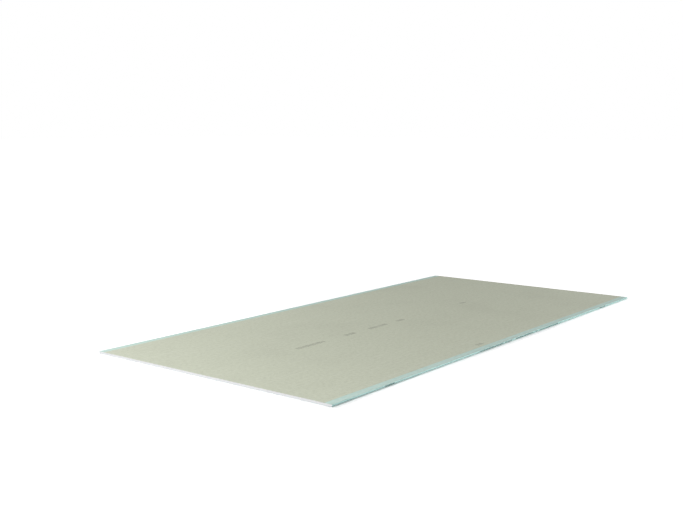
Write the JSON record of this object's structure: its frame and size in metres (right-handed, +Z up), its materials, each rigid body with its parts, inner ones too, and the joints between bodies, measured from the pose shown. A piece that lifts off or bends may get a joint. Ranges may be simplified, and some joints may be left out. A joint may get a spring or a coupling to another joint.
{
  "type": "drywall sheet",
  "caption": "Flat tapered-edge moisture-resistant drywall sheet: gypsum core in green face paper that wraps the long edges, with a grey back paper and cut ends. Lines walls and ceilings.",
  "frame": {"origin": "under the middle of the sheet, on the plane of its face, on which it lies", "axes": "+X along the sheet's length, +Y across its width, +Z up through its thickness, from the face to the back"},
  "size_m": [2.5, 1.2, 0.0095],
  "materials": {
    "gypsum": "matt, chalky, finely porous where it was cut",
    "green_paper": "matt, smooth mint-green lining paper",
    "grey_paper": "matt, slightly mottled grey-beige recycled lining paper"
  },
  "bodies": {
    "root": {"gypsum_core": "gypsum", "face_paper": "green_paper", "back_paper": "grey_paper"}
  },
  "joints": []
}
